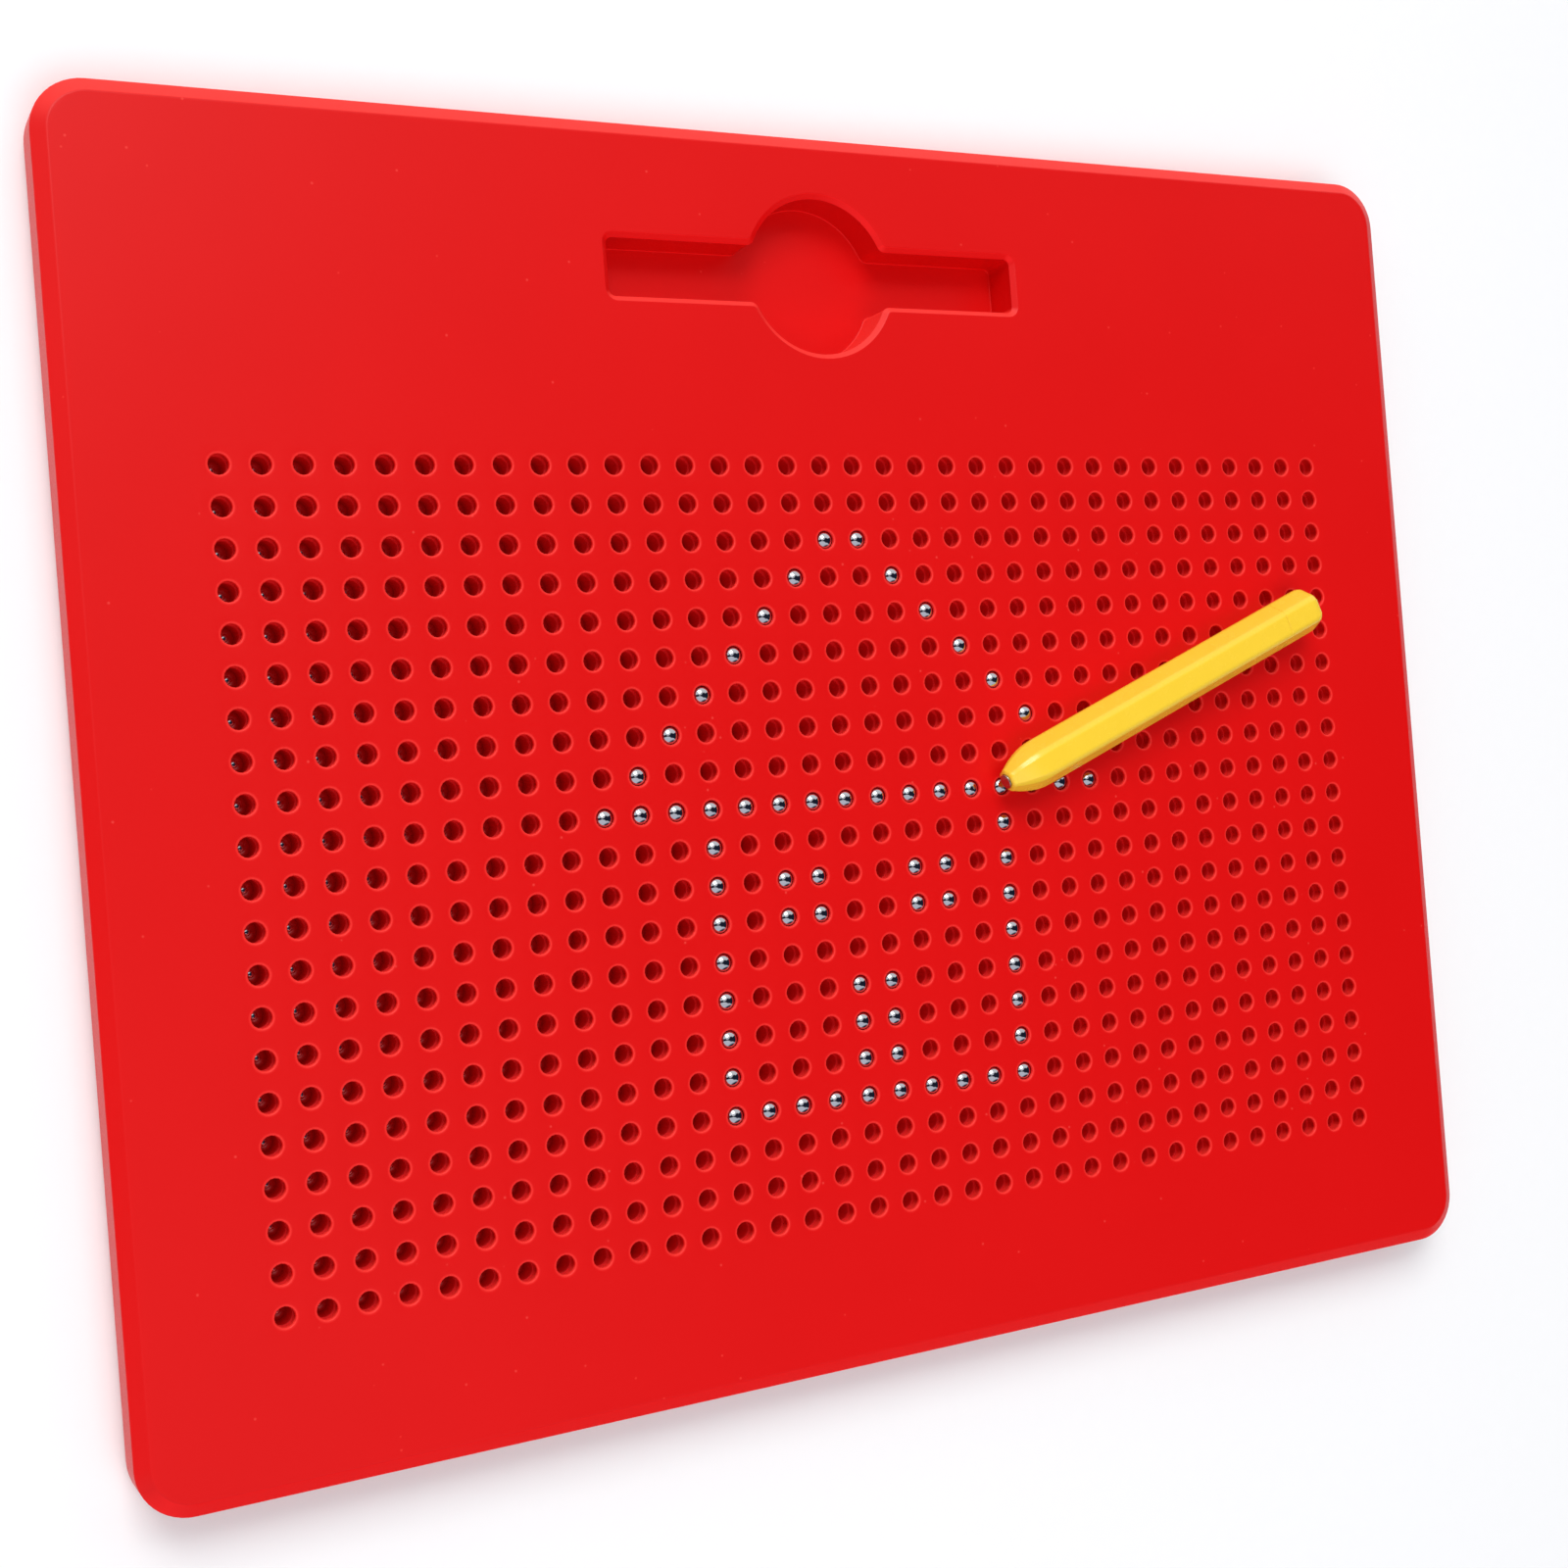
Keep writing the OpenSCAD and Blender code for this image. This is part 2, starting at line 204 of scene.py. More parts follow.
class BoardStylus(bpy.types.PropertyGroup):
    """The stylus"""

    length: length("Length", "Length without the magnet's proud tip", 98)
    flats: length("Flats", "Width across the flats", 10)
    corners: length("Corners", "Width across the rounded corners", 11)
    nose_length: length("Nose length", "Length of the tapered nose", 14)
    nose: length("Nose", "Diameter of the blunt nose end", 5.6)
    nose_edge: length("Nose edge", "Rounding of the blunt nose end", 1)
    cap: length("Cap", "Length of the end cap", 12)
    spigot: length("Spigot", "Length of the cap's spigot inside the barrel", 9)
    seam: length("Seam", "Rounding of the two edges at the cap's seam", 0.16)
    dome: length("Dome", "Length of the domed tail", 4.5)
    dome_fall: length("Dome fall", "How much the radius falls over the domed tail", 2.4)
    crown: length("Crown", "How much the tail's middle stands over its edge", 0.35)
    dimple: length("Dimple", "Diameter of the moulding mark in the tail", 1.4)
    hollow: length("Hollow", "Diameter of the hollow in the barrel", 7.6)
    magnet: length("Magnet", "Diameter of the magnet", 3.4)
    magnet_length: length("Magnet length", "Length of the magnet", 20)
    proud: length("Proud", "How far the magnet stands out of the nose", 0.4)
    fit: length("Fit", "Room round the magnet and the spigot", 0.05)
    turn: FloatProperty(
        name="Turn",
        description="Direction of the stylus on the board",
        default=math.radians(21.7),
        subtype="ANGLE",
    )


class BoardFinish(bpy.types.PropertyGroup):
    """Colours of the mouldings and metals"""

    face: colour("Face", "Red of the front panel", "#E00B0B")
    face_deep: colour("Face, deeper", "Red of the front panel's flow marks", "#DA0707")
    back: colour("Back", "Red of the textured rear cover", "#D80E10")
    speck: colour("Speck", "Pinprick specks in the front panel", "#FF5A50")
    # painted highlight: this paler red stands for light caught on each hole's rounded edge and on all that
    # faces the top edge
    mouth: colour("Mouth", "Paler red of the rubbed edge round each hole", "#FF3A34")
    # painted light: the lower border faces away from the key light and is painted a brighter red to make up
    # for it
    border: colour("Border", "Brighter red of the rubbed border along the lower edge", "#F80B0B")
    wells: colour("Wells", "Red of the well plate", "#E40C0E")
    rubber: colour("Rubber", "Red of the retaining sheet", "#DC0E12")
    yellow: colour("Yellow", "Yellow of the stylus", "#FFD63C")
    yellow_deep: colour("Yellow, deeper", "Yellow of the stylus' flow marks", "#FBD036")
    steel: colour("Steel", "Polished ball steel", "#DADDE4")
    nickel: colour("Nickel", "Nickel plate of the magnet", "#BDB7AA")
    zinc: colour("Zinc", "Zinc plate of the screws", "#BFC4C8")
    floor: colour("Floor", "Pale studio floor", "#FCFCFC")


class BoardStudio(bpy.types.PropertyGroup):
    """Camera and light"""

    camera: FloatVectorProperty(
        name="Camera",
        description="Place of the camera",
        default=(-0.2187, -0.0098, 0.4019),
        subtype="XYZ",
        unit="LENGTH",
    )
    target: FloatVectorProperty(
        name="Target",
        description="Point in the middle of the view",
        default=(-0.0188, -0.0069, 0.013),
        subtype="XYZ",
        unit="LENGTH",
    )
    upright: FloatVectorProperty(
        name="Upright",
        description="Direction that is up in the view",
        default=(0.068, 0.9968, 0.0421),
        subtype="DIRECTION",
    )
    lens: FloatProperty(
        name="Lens", description="Focal length on a 36 mm sensor", default=47.35, unit="CAMERA"
    )
    key: FloatProperty(
        name="Key light", description="Power of the key light", default=19.0, unit="POWER"
    )
    fill: FloatProperty(
        name="Fill light", description="Power of the overhead light", default=6.0, unit="POWER"
    )
    sky: FloatProperty(name="Sky", description="Brightness of the surroundings", default=0.6, min=0)


# ---------------------------------------------------------------------------------------------
# Shapes


def new_shape():
    """An empty mesh whose corners can keep the direction in which their outline grows."""
    bm = bmesh.new()
    bm.verts.layers.float_vector.new("grow")
    return bm


def outline(corners, rounding, steps=6):
    """Points of a flat outline, anticlockwise, with each corner rounded by its own amount."""
    bm = bmesh.new()
    verts = [bm.verts.new((x, y, 0)) for x, y in corners]
    bm.faces.new(verts)
    for amount in sorted(set(rounding) - {0}):
        chosen = [v for v, r in zip(verts, rounding) if r == amount]
        bmesh.ops.bevel(
            bm,
            geom=chosen,
            affect="VERTICES",
            offset=amount,
            offset_type="OFFSET",
            segments=steps,
            profile=0.5,
            material=-1,
        )
    bm.faces.ensure_lookup_table()
    points = [v.co.to_2d() for v in bm.faces[0].verts]
    bm.free()
    return points


def rectangle(low, high, radius=0, steps=8):
    """Points of a rectangle between two corners, with its own corners rounded."""
    corners = [(low.x, low.y), (high.x, low.y), (high.x, high.y), (low.x, high.y)]
    return outline(corners, [radius] * 4, steps)


def circle(radius, steps, middle=(0, 0)):
    """Points of a circle, anticlockwise."""
    bm = bmesh.new()
    made = bmesh.ops.create_circle(bm, cap_ends=True, segments=steps, radius=radius)
    face = made["verts"][0].link_faces[0]
    if face.normal.z < 0:
        face.normal_flip()
    points = [v.co.to_2d() + Vector(middle) for v in face.verts]
    bm.free()
    return points


def ring(bm, points, out, z):
    """A closed ring of edges, out beyond the outline through points. Its corners keep the
    direction that moves both of their edges outwards by one."""
    grow = bm.verts.layers.float_vector["grow"]
    verts = []
    for before, here, after in zip(points[-1:] + points[:-1], points, points[1:] + points[:1]):
        a = (here - before).normalized()
        b = (after - here).normalized()
        outward = Vector((a.y + b.y, -a.x - b.x)) / (1 + a.dot(b))
        place = here + out * outward
        v = bm.verts.new((place.x, place.y, z))
        v[grow] = outward.to_3d()
        verts.append(v)
    return [bm.edges.new(pair) for pair in zip(verts, verts[1:] + verts[:1])]


def extrude_ring(bm, edges):
    """Extrudes a ring of edges where it stands. Returns the new ring and its corners."""
    made = bmesh.ops.extrude_edge_only(bm, edges=edges)["geom"]
    new_edges = [e for e in made if isinstance(e, bmesh.types.BMEdge) and e.is_boundary]
    return new_edges, [v for v in made if isinstance(v, bmesh.types.BMVert)]


def swept(bm, points, profile):
    """Sweeps an outline along a profile of (how far outside the outline, height). Returns the
    first and the last ring of edges."""
    grow = bm.verts.layers.float_vector["grow"]
    (reached, z), *rest = profile
    first = edges = ring(bm, points, reached, z)
    for out, z in rest:
        edges, verts = extrude_ring(bm, edges)
        for v in verts:
            v.co += v[grow] * (out - reached)
            v.co.z = z
        reached = out
    return first, edges


def rounding(out, z, radius, start, end, steps=3):
    """Profile points of an arc about (out, z), from one angle to another in degrees: 0 points
    outwards and 90 upwards."""
    angles = [math.radians(start + (end - start) * i / steps) for i in range(steps + 1)]
    return [(out + radius * math.cos(a), z + radius * math.sin(a)) for a in angles]


def flat(bm, *rings):
    """Fills the flat region between rings of edges."""
    edges = [e for r in rings for e in r]
    made = bmesh.ops.triangle_fill(bm, use_beauty=True, edges=edges, normal=(0, 0, 1))["geom"]
    if not any(isinstance(g, bmesh.types.BMFace) for g in made):
        raise RuntimeError("a flat region could not be filled")


def copies(bm, geom, count, step):
    """Repeats geom until there are count of it, each one step further on. Returns all of it."""
    everything = list(geom)
    for i in range(1, count):
        copy = bmesh.ops.duplicate(bm, geom=geom)["geom"]
        verts = [g for g in copy if isinstance(g, bmesh.types.BMVert)]
        bmesh.ops.translate(bm, vec=step * i, verts=verts)
        everything += copy
    return everything


def first_hole(grid):
    """Middle of the top left hole."""
    return Vector((-(grid.columns - 1) * grid.pitch / 2, GRID_Y + (grid.rows - 1) * grid.pitch / 2, 0))


def hole_field(bm, grid, profile, steps=16):
    """A block of square cells, each with a hole down its middle. The profile runs down the hole
    as (radius, height). Returns the block's top and bottom outlines as rings of edges."""
    grow = bm.verts.layers.float_vector["grow"]
    radius = profile[0][0]
    rims = swept(bm, circle(radius, steps), [(r - radius, z) for r, z in profile])
    for rim in rims:
        for v in extrude_ring(bm, rim)[1]:
            way = v[grow]
            v.co.xy = way.xy * grid.pitch / 2 / max(abs(way.x), abs(way.y))
    bmesh.ops.translate(bm, vec=first_hole(grid), verts=bm.verts)
    cell = bm.verts[:] + bm.edges[:] + bm.faces[:]
    row = copies(bm, cell, grid.columns, Vector((grid.pitch, 0, 0)))
    copies(bm, row, grid.rows, Vector((0, -grid.pitch, 0)))
    bmesh.ops.remove_doubles(bm, verts=bm.verts, dist=WELD)
    middle = (profile[0][1] + profile[-1][1]) / 2
    edge = [e for e in bm.edges if e.is_boundary]
    return [e for e in edge if e.verts[0].co.z > middle], [e for e in edge if e.verts[0].co.z < middle]


def pierced_block(bm, grid, low, high, profile):
    """A rectangular block with the field of holes through it."""
    top, bottom = hole_field(bm, grid, profile)
    upper, lower = swept(bm, rectangle(low, high), [(0, profile[0][1]), (0, profile[-1][1])])
    flat(bm, top, upper)
    flat(bm, bottom, lower)


def tray_outline(tray):
    """Points round the stylus slot and its finger well, about the middle of the tray."""
    half_l = tray.length / 2
    half_w = tray.width / 2
    start = math.asin(half_w / tray.finger)
    joint_x = tray.finger * math.cos(start)
    arc_steps = 26
    corners = []
    rounds = []
    for side in (1, -1):
        corners += [(side * half_l, -side * half_w), (side * half_l, side * half_w)]
        corners += [(side * joint_x, side * half_w)]
        rounds += [tray.corner, tray.corner, tray.blend]
        for i in range(1, arc_steps):
            a = start + (math.pi - 2 * start) * i / arc_steps
            corners.append((side * tray.finger * math.cos(a), side * tray.finger * math.sin(a)))
            rounds.append(0)
        corners.append((-side * joint_x, side * half_w))
        rounds.append(tray.blend)
    y = PANEL_HIGH.y - tray.drop
    return [p + Vector((0, y)) for p in outline(corners, rounds, steps=4)]


def screw_places(screws):
    """Middles of the ten cover screws."""
    x = SCREWS_HIGH.x - screws.head / 2
    y = SCREWS_HIGH.y - screws.head / 2
    corner_and_inner = [(sx * a, sy * y) for a in (x, screws.inner) for sx in (-1, 1) for sy in (-1, 1)]
    return corner_and_inner + [(-x, GRID_Y), (x, GRID_Y)]


def ball(bm, diameter, cuts):
    """A round ball from a subdivided cube, so that it has no poles. Returns all of it."""
    bmesh.ops.create_cube(bm, size=1)
    bmesh.ops.subdivide_edges(bm, edges=bm.edges[:], cuts=cuts, use_grid_fill=True)
    for v in bm.verts:
        v.co = v.co.normalized() * diameter / 2
    return bm.verts[:] + bm.edges[:] + bm.faces[:]


def holes_held(node, grid):
    """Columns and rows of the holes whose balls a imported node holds."""
    start = first_hole(grid)
    return sorted(
        {
            (round((v.co.x - start.x) / grid.pitch), round((start.y - v.co.y) / grid.pitch))
            for v in frame["nodes"][node].data.vertices
        }
    )


def balls_of(node, grid, cuts):
    """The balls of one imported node, finely rounded."""
    low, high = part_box(node)
    bm = new_shape()
    places = [first_hole(grid) + Vector((c, -r, 0)) * grid.pitch for c, r in holes_held(node, grid)]
    geom = ball(bm, grid.ball, cuts)
    for here, after in zip(places, places[1:] + [None]):
        fresh = bmesh.ops.duplicate(bm, geom=geom)["geom"] if after else geom
        verts = [g for g in fresh if isinstance(g, bmesh.types.BMVert)]
        bmesh.ops.translate(bm, vec=here + Vector((0, 0, (low.z + high.z) / 2)), verts=verts)
    return bm


def soft_min(a, b, blend):
    """The smaller of two sizes, rounded off where they are within blend of each other."""
    near = max(blend - abs(a - b), 0) / blend
    return min(a, b) - near * near * blend / 4


def lathed(bm, section, stations):
    """Carries a section through stations of (widest radius, height). Where a station is narrower
    than the section, the section turns into a circle. Returns the first and the last ring."""
    grow = bm.verts.layers.float_vector["grow"]
    first = edges = ring(bm, section, 0, 0)
    verts = {v for e in edges for v in e.verts}
    for v in verts:
        v[grow] = v.co
    for number, (radius, z) in enumerate(stations):
        if number:
            edges, verts = extrude_ring(bm, edges)
        for v in verts:
            v.co = v[grow].normalized() * soft_min(v[grow].length, radius, TAPER_BLEND)
            v.co.z = z
    return first, edges


def turned_in(bm, edges, seam, profile):
    """Rounds a ring of the stylus inwards by the seam, then carries it on as a circle along a
    profile of (radius, height). Returns the last ring."""
    grow = bm.verts.layers.float_vector["grow"]
    edges, verts = extrude_ring(bm, edges)
    for v in verts:
        v.co = v[grow].normalized() * (v[grow].length - seam)
        v.co.z = profile[0][1]
    for radius, z in profile:
        edges, verts = extrude_ring(bm, edges)
        for v in verts:
            v.co = v[grow].normalized() * radius
            v.co.z = z
    return edges


def stylus_section(stylus):
    """Six flats with rounded corners, one flat on top."""
    tip = stylus.flats / 2 / math.cos(math.radians(30))
    radius = (tip - stylus.corners / 2) / (1 / math.cos(math.radians(30)) - 1)
    turns = [math.radians(a) for a in range(0, 360, 60)]
    corners = [(tip * math.cos(a), tip * math.sin(a)) for a in turns]
    return outline(corners, [radius * math.tan(math.radians(30))] * 6, steps=6)


def lay_stylus(bm, stylus):
    """Lays a stylus piece, drawn along Z from its nose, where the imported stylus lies."""
    way = Vector((math.cos(stylus.turn), math.sin(stylus.turn), 0))
    middle = (MAGNET_LOW + MAGNET_HIGH) / 2
    nose = middle - way * (stylus.magnet_length / 2 - stylus.proud)
    stand = Matrix(((0, 0, 1), (1, 0, 0), (0, 1, 0))).to_4x4()
    matrix = Matrix.Translation(nose) @ Matrix.Rotation(stylus.turn, 4, "Z") @ stand
    bmesh.ops.transform(bm, matrix=matrix, verts=bm.verts)


def finish_piece(bm, name, node, material):
    """Closes a mesh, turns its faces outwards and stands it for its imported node."""
    bmesh.ops.remove_doubles(bm, verts=bm.verts, dist=WELD)
    bmesh.ops.recalc_face_normals(bm, faces=bm.faces)
    loose = [e for e in bm.edges if not e.is_manifold]
    if loose:
        raise RuntimeError(f"{name} is not closed: {len(loose)} loose edges")
    for face in bm.faces:
        face.smooth = True
    for edge in bm.edges:
        edge.smooth = edge.calc_face_angle() < CRISP
    bm.verts.layers.float_vector.remove(bm.verts.layers.float_vector["grow"])
    mesh = bpy.data.meshes.new(name)
    bm.to_mesh(mesh)
    bm.free()
    mesh.materials.append(material)
    piece = bpy.data.objects.new(name, mesh)
    bpy.context.scene.collection.objects.link(piece)
    shading = piece.modifiers.new("Even shading", "WEIGHTED_NORMAL")
    shading.keep_sharp = True
    shading.weight = 90
    body = frame["nodes"][node]["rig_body"]
    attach(piece, body)
    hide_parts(node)


# ---------------------------------------------------------------------------------------------
# Materials


def add(tree, kind, inputs=None, **settings):
    """Adds a node. Inputs are values, or sockets that are linked in."""
    node = tree.nodes.new(kind)
    for name, value in settings.items():
        setattr(node, name, value)
    for key, value in (inputs or {}).items():
        if isinstance(value, bpy.types.NodeSocket):
            tree.links.new(value, node.inputs[key])
        else:
            node.inputs[key].default_value = value
    return node


def blend(tree, share, first, second):
    """A colour between two others. Returns its socket."""
    return add(tree, "ShaderNodeMix", {0: share, 6: first, 7: second}, data_type="RGBA").outputs[2]


def remap(tree, value, low, high, start, end, **settings):
    """A value carried from one range to another and held at its ends. Returns its socket."""
    inputs = {0: value, 1: low, 2: high, 3: start, 4: end}
    return add(tree, "ShaderNodeMapRange", inputs, **settings).outputs[0]


def maths(tree, operation, *values):
    """The outcome of arithmetic on numbers. Returns its socket."""
    return add(tree, "ShaderNodeMath", dict(enumerate(values)), operation=operation).outputs[0]


def vectors(tree, operation, *values):
    """The outcome of arithmetic on vectors. Returns its socket."""
    node = add(tree, "ShaderNodeVectorMath", dict(enumerate(values)), operation=operation)
    return node.outputs["Value" if operation in ("LENGTH", "DOT_PRODUCT") else "Vector"]


def axes(tree, vector):
    """The three parts of a vector, as sockets."""
    return add(tree, "ShaderNodeSeparateXYZ", {0: vector}).outputs


def noise(tree, place, across, detail):
    """Noise whose marks are about so far across. Returns its socket."""
    inputs = {"Vector": place, "Scale": 1 / across, "Detail": detail}
    return add(tree, "ShaderNodeTexNoise", inputs).outputs[0]


def darker(tint, share):
    """A colour with only a share of its light."""
    return [c * share for c in tint[:3]] + [1]


def surface(name, values):
    """A material with one Principled surface. Returns it, its tree, its shader and a socket with
    the Object coordinates."""
    material = bpy.data.materials.get(name) or bpy.data.materials.new(name)
    material.use_nodes = True
    tree = material.node_tree
    shader = tree.nodes["Principled BSDF"]
    for socket, value in values.items():
        shader.inputs[socket].default_value = value
    place = add(tree, "ShaderNodeTexCoord").outputs["Object"]
    return material, tree, shader, place


def coat(tree, shader, tint, marks, gloss, relief, span=(0.3, 0.7)):
    """Gives a shader its colour, and a roughness and a relief that both follow the marks. Gloss
    is the roughness at the two ends of the span, relief is a strength and a depth."""
    strength, depth = relief
    bump = add(tree, "ShaderNodeBump", {"Height": marks, "Strength": strength, "Distance": depth})
    tree.links.new(tint, shader.inputs["Base Color"])
    tree.links.new(remap(tree, marks, *span, *gloss), shader.inputs["Roughness"])
    tree.links.new(bump.outputs[0], shader.inputs["Normal"])


def mouth_highlight_rings(tree, place, grid):
    """A mask of the rounded edge of each hole, which is painted paler as a highlight. Returns its socket."""
    half_cell = grid.pitch / 2
    first = Vector((grid.columns % 2 * half_cell, GRID_Y + grid.rows % 2 * half_cell, 0))
    moved = vectors(tree, "SUBTRACT", place, first)
    cell = vectors(tree, "WRAP", moved, Vector((grid.pitch, grid.pitch, 1)), (0, 0, 0))
    centred = vectors(tree, "SUBTRACT", cell, (half_cell, half_cell, 0))
    reach = vectors(tree, "LENGTH", vectors(tree, "MULTIPLY", centred, (1, 1, 0)))
    throat = grid.mouth / 2
    brim = throat + grid.mouth_soft
    inner = remap(tree, reach, throat, throat + 0.1 * MM, 0.0, 0.6)
    outer = remap(tree, reach, brim - 0.1 * MM, brim + 0.3 * MM, 1.0, 0.0)
    mask = maths(tree, "MULTIPLY", inner, outer)
    # only inside the field of holes
    offset = vectors(tree, "SUBTRACT", place, (0, GRID_Y, 0))
    sides = axes(tree, vectors(tree, "ABSOLUTE", offset))
    for side, count in zip(sides, (grid.columns, grid.rows)):
        mask = maths(tree, "MULTIPLY", mask, maths(tree, "LESS_THAN", side, count * half_cell))
    return mask


def painted_light_masks(tree):
    """Masks for painted light: a painted highlight on all that slopes or stands facing the top edge, like
    the tray's lower rim and wall, and a painted brightening of the border along the lower edge. Returns
    their sockets."""
    facing = axes(tree, add(tree, "ShaderNodeTexCoord").outputs["Normal"])
    painted_top_light = remap(tree, facing[1], 0.1, 0.5, 0.0, 0.9)
    off_level = remap(tree, facing[2], 0.85, 0.98, 1.0, 0.0)
    painted_bottom_light = remap(tree, facing[1], -0.4, -0.2, 1.0, 0.0)
    off_upright = remap(tree, facing[2], 0.4, 0.6, 0.0, 0.8)
    return maths(tree, "MULTIPLY", painted_top_light, off_level), maths(tree, "MULTIPLY", painted_bottom_light, off_upright)


def moulded_red_abs(finish, grid):
    """Moulded ABS, satin from a polished tool. The eye gets an even red with soft flow marks, a fine leather
    of tool texture and a few pinprick specks, with painted light on top: hole edges and all that faces the
    top edge painted paler as highlights, and the lower border painted a brighter red where less light falls."""
    material, tree, shader, place = surface("moulded_red_abs", {"IOR": 1.54, "Specular IOR Level": 0.22})
    tint = blend(tree, noise(tree, place, 40 * MM, 3), finish.face_deep, finish.face)
    # pinprick specks, 0.5 mm across and about 6 mm apart
    specks = add(tree, "ShaderNodeTexVoronoi", {"Vector": place, "Scale": 1 / (6 * MM)})
    speck = remap(tree, specks.outputs["Distance"], 0.03, 0.055, 0.35, 0.0)
    tint = blend(tree, speck, tint, finish.speck)
    painted_top_light, border = painted_light_masks(tree)
    # painted light: the lower border painted a brighter red
    tint = blend(tree, border, tint, finish.border)
    # painted highlight: the hole edges and all that faces the top edge painted paler
    highlighted = maths(tree, "MAXIMUM", mouth_highlight_rings(tree, place, grid), painted_top_light)
    tint = blend(tree, highlighted, tint, finish.mouth)
    # tool texture: grains 0.5 mm across, real ones are finer
    grain = noise(tree, place, 0.5 * MM, 2)
    coat(tree, shader, tint, grain, (0.36, 0.46), (0.12, 0.02 * MM))
    return material


def grained_moulding(name, tint, grain_size, depth, roughness, painted_glow=0.0):
    """A moulding from a spark-eroded tool: matt, with an even pebble grain that catches light.
    The last value is painted light: an emitted faint deep red, though the moulding is no lamp, that makes
    closed-in walls look lit."""
    # painted light: the emission lets the moulding light itself
    values = {"IOR": 1.54, "Emission Color": tint, "Emission Strength": painted_glow}
    material, tree, shader, place = surface(name, values)
    pebble = noise(tree, place, grain_size, 3)
    shade = blend(tree, pebble, darker(tint, 0.8), tint)
    coat(tree, shader, shade, pebble, (roughness - 0.08, roughness + 0.08), (0.5, depth))
    return material


def moulded_yellow_abs(finish):
    """Glossy moulded ABS: a warm yellow with soft flow marks and a slight ripple, so that
    highlights along its edges waver."""
    material, tree, shader, place = surface("moulded_yellow_abs", {"IOR": 1.54})
    tint = blend(tree, noise(tree, place, 12 * MM, 2), finish.yellow_deep, finish.yellow)
    # handling marks in the gloss, a few millimetres across
    marks = noise(tree, place, 3 * MM, 4)
    coat(tree, shader, tint, marks, (0.2, 0.3), (0.08, 0.03 * MM), span=(0.35, 0.65))
    return material


def bright_metal(name, tint, roughness, mark_size, depth):
    """A bare or plated metal: the eye gets sharp reflections, broken a little by fine marks."""
    material, tree, shader, place = surface(name, {"Metallic": 1.0})
    marks = noise(tree, place, mark_size, 4)
    shade = blend(tree, marks, darker(tint, 0.86), tint)
    coat(tree, shader, shade, marks, (roughness * 0.7, roughness * 1.3), (0.1, depth))
    return material


def studio_paper(finish):
    """Matt studio paper: a plain pale floor with the faintest fibre."""
    material, tree, shader, place = surface("studio_paper", {"Roughness": 0.9, "Specular IOR Level": 0.1})
    fibre = noise(tree, place, 4 * MM, 3)
    shade = blend(tree, fibre, darker(finish.floor, 0.98), finish.floor)
    tree.links.new(shade, shader.inputs["Base Color"])
    return material


# ---------------------------------------------------------------------------------------------
# Operators


class DRAWBOARD_OT_front_panel(bpy.types.Operator):
    """Build the front panel: walls, sloping border, holes, tray and screw bosses"""

    bl_idname = "drawboard.front_panel"
    bl_label = "Front Panel"

    def execute(self, context):
        scene = context.scene
        grid, case = scene.board_grid, scene.board_case
        tray, screws = scene.board_tray, scene.board_screws
        top = PANEL_HIGH.z
        under = top - case.face
        bm = new_shape()
        mouth = grid.mouth / 2
        soft = grid.mouth_soft
        face_rim, slab_rim = hole_field(
            bm,
            grid,
            [
                (mouth + soft, top),
                (mouth + 0.3 * soft, top - 0.3 * soft),
                (mouth, top - grid.lip),
                (grid.well / 2, top - grid.lip),
                (grid.well / 2, SHEET_HIGH.z),
            ],
        )
        # side walls and the sloping border
        slope = math.degrees(math.atan2(case.border_height, case.border_width))
        soft = case.soft
        walls = [(-case.wall, under), (-case.wall, case.foot)]
        walls += rounding(-soft, case.foot + soft, soft, -90, 0)
        walls += rounding(-soft, top - case.border_height - 0.1 * soft, soft, 0, 90 - slope)
        walls += rounding(-case.border_width - soft, top - 2 * soft, 2 * soft, 90 - slope, 90)
        ceiling_edge, face_edge = swept(bm, rectangle(PANEL_LOW, PANEL_HIGH, case.corner, 12), walls)
        # tray
        mouth_soft = 0.3 * MM
        floor_z = PANEL_LOW.z + tray.floor
        dish = rounding(tray.bevel + mouth_soft, top - mouth_soft, mouth_soft, 90, 135, 2)
        dish += rounding(-mouth_soft, top - tray.bevel - mouth_soft, mouth_soft, 45, 0, 2)
        dish += rounding(-tray.sweep, floor_z + tray.sweep, tray.sweep, 0, -90)
        shape = tray_outline(tray)
        tray_mouth, tray_floor = swept(bm, shape, dish)
        flat(bm, tray_floor)
        tray_root, tray_under = swept(bm, shape, [(tray.wall, under), (tray.wall, PANEL_LOW.z)])
        flat(bm, tray_under)
        # bosses for the cover screws
        boss_z = COVER_LOW.z + scene.board_cover.thickness + screws.pad_height
        bore = (screws.shank - screws.boss) / 2 + scene.board_stylus.fit
        roots = []
        for place in screw_places(screws):
            tube = [(0, under), (0, boss_z), (bore, boss_z), (bore, SCREWS_HIGH.z + screws.spare)]
            root, end = swept(bm, circle(screws.boss / 2, 24, place), tube)
            flat(bm, end)
            roots.append(root)
        # step down to the slab that holds the field of holes
        step, slab_edge = swept(bm, rectangle(PLATE_LOW, PLATE_HIGH), [(0, under), (0, SHEET_HIGH.z)])
        flat(bm, slab_edge, slab_rim)
        flat(bm, ceiling_edge, step, tray_root, *roots)
        flat(bm, face_edge, face_rim, tray_mouth)
        red = moulded_red_abs(scene.board_finish, grid)
        finish_piece(bm, "front_panel_moulding", "front_panel", red)
        return {"FINISHED"}


